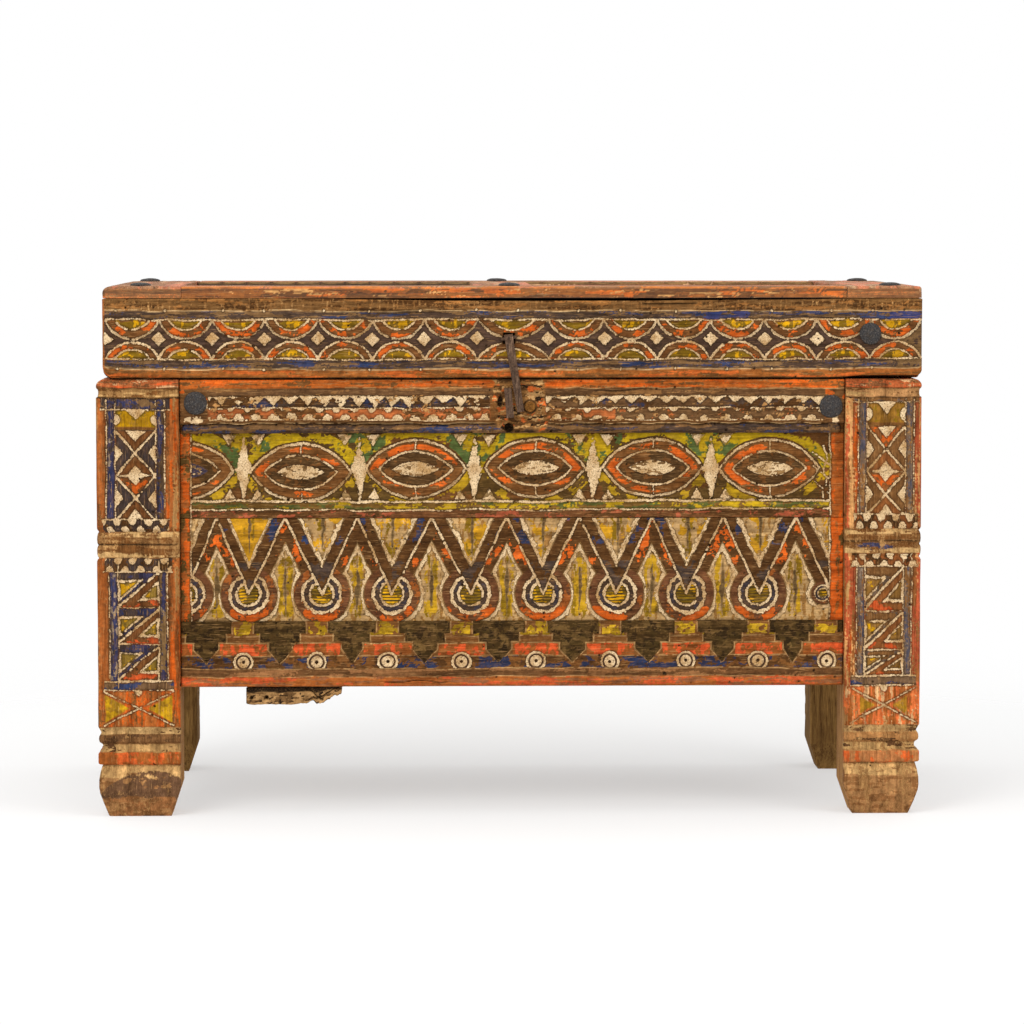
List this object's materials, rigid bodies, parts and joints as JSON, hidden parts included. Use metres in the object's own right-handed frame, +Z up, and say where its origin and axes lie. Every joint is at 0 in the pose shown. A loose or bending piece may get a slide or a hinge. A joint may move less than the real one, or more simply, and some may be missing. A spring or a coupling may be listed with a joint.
{
  "type": "wooden storage chest",
  "caption": "Carved and painted wooden chest on moulded corner posts, with a framed lid on linked iron eyes and a hanging iron hasp beside a staple, for storing cloth and household goods.",
  "frame": {"origin": "on the floor, at the middle of the bounding box in plan", "axes": "+X along the chest to the right as seen from its front, +Y to the back, +Z up"},
  "size_m": [1, 0.5039, 0.6485],
  "materials": {
    "painted_wood": "carved, painted in worn orange, ochre, blue-black and cream",
    "bare_wood": "unpainted, dry and aged",
    "plug_wood": "dark end grain",
    "iron": "hand forged, dark and dull"
  },
  "bodies": {
    "chest": {"back_bottom_rail": "bare_wood", "back_lower_panel": "bare_wood", "back_top_rail": "bare_wood", "back_upper_panel": "bare_wood", "dome_rail_left": "iron", "dome_rail_right": "iron", "floor_bearer": "bare_wood", "floor_board_back": "bare_wood", "floor_board_front": "bare_wood", "floor_board_middle": "bare_wood", "front_bottom_rail": "painted_wood", "front_lower_panel": "painted_wood", "front_top_rail": "painted_wood", "front_upper_panel": "painted_wood", "hinge_eye_left": "iron", "hinge_eye_right": "iron", "left_bottom_rail": "bare_wood", "left_lower_panel": "bare_wood", "left_top_rail": "bare_wood", "left_upper_panel": "bare_wood", "lock_plug": "plug_wood", "lock_staple": "iron", "post_back_left": "bare_wood", "post_back_right": "bare_wood", "post_front_left": "painted_wood", "post_front_right": "painted_wood", "right_bottom_rail": "bare_wood", "right_lower_panel": "bare_wood", "right_top_rail": "bare_wood", "right_upper_panel": "bare_wood"},
    "lid": {"dome_lid_left_back": "iron", "dome_lid_left_front": "iron", "dome_lid_middle_back": "iron", "dome_lid_middle_front": "iron", "dome_lid_right_back": "iron", "dome_lid_right_front": "iron", "dome_lid_skirt": "iron", "hasp_staple": "iron", "hinge_loop_left": "iron", "hinge_loop_right": "iron", "lid_back_board": "bare_wood", "lid_back_rail": "painted_wood", "lid_end_rail_left": "painted_wood", "lid_end_rail_right": "painted_wood", "lid_front_board": "painted_wood", "lid_front_rail": "painted_wood", "lid_left_board": "bare_wood", "lid_muntin": "painted_wood", "lid_panel_left": "painted_wood", "lid_panel_right": "painted_wood", "lid_right_board": "bare_wood"},
    "hasp": {"hasp_strap": "iron"}
  },
  "joints": [
    {"name": "lid_hinge", "type": "hinge", "parent": "chest", "child": "lid", "pos_m": [0, 0.2435, 0.5325], "axis": [-1, 0, 0], "range_deg": [0, 100]},
    {"name": "hasp_swing", "type": "hinge", "parent": "lid", "child": "hasp", "pos_m": [-0.0015, -0.244, 0.5815], "axis": [-0.987, 0, -0.1607], "range_deg": [0, 118]}
  ]
}
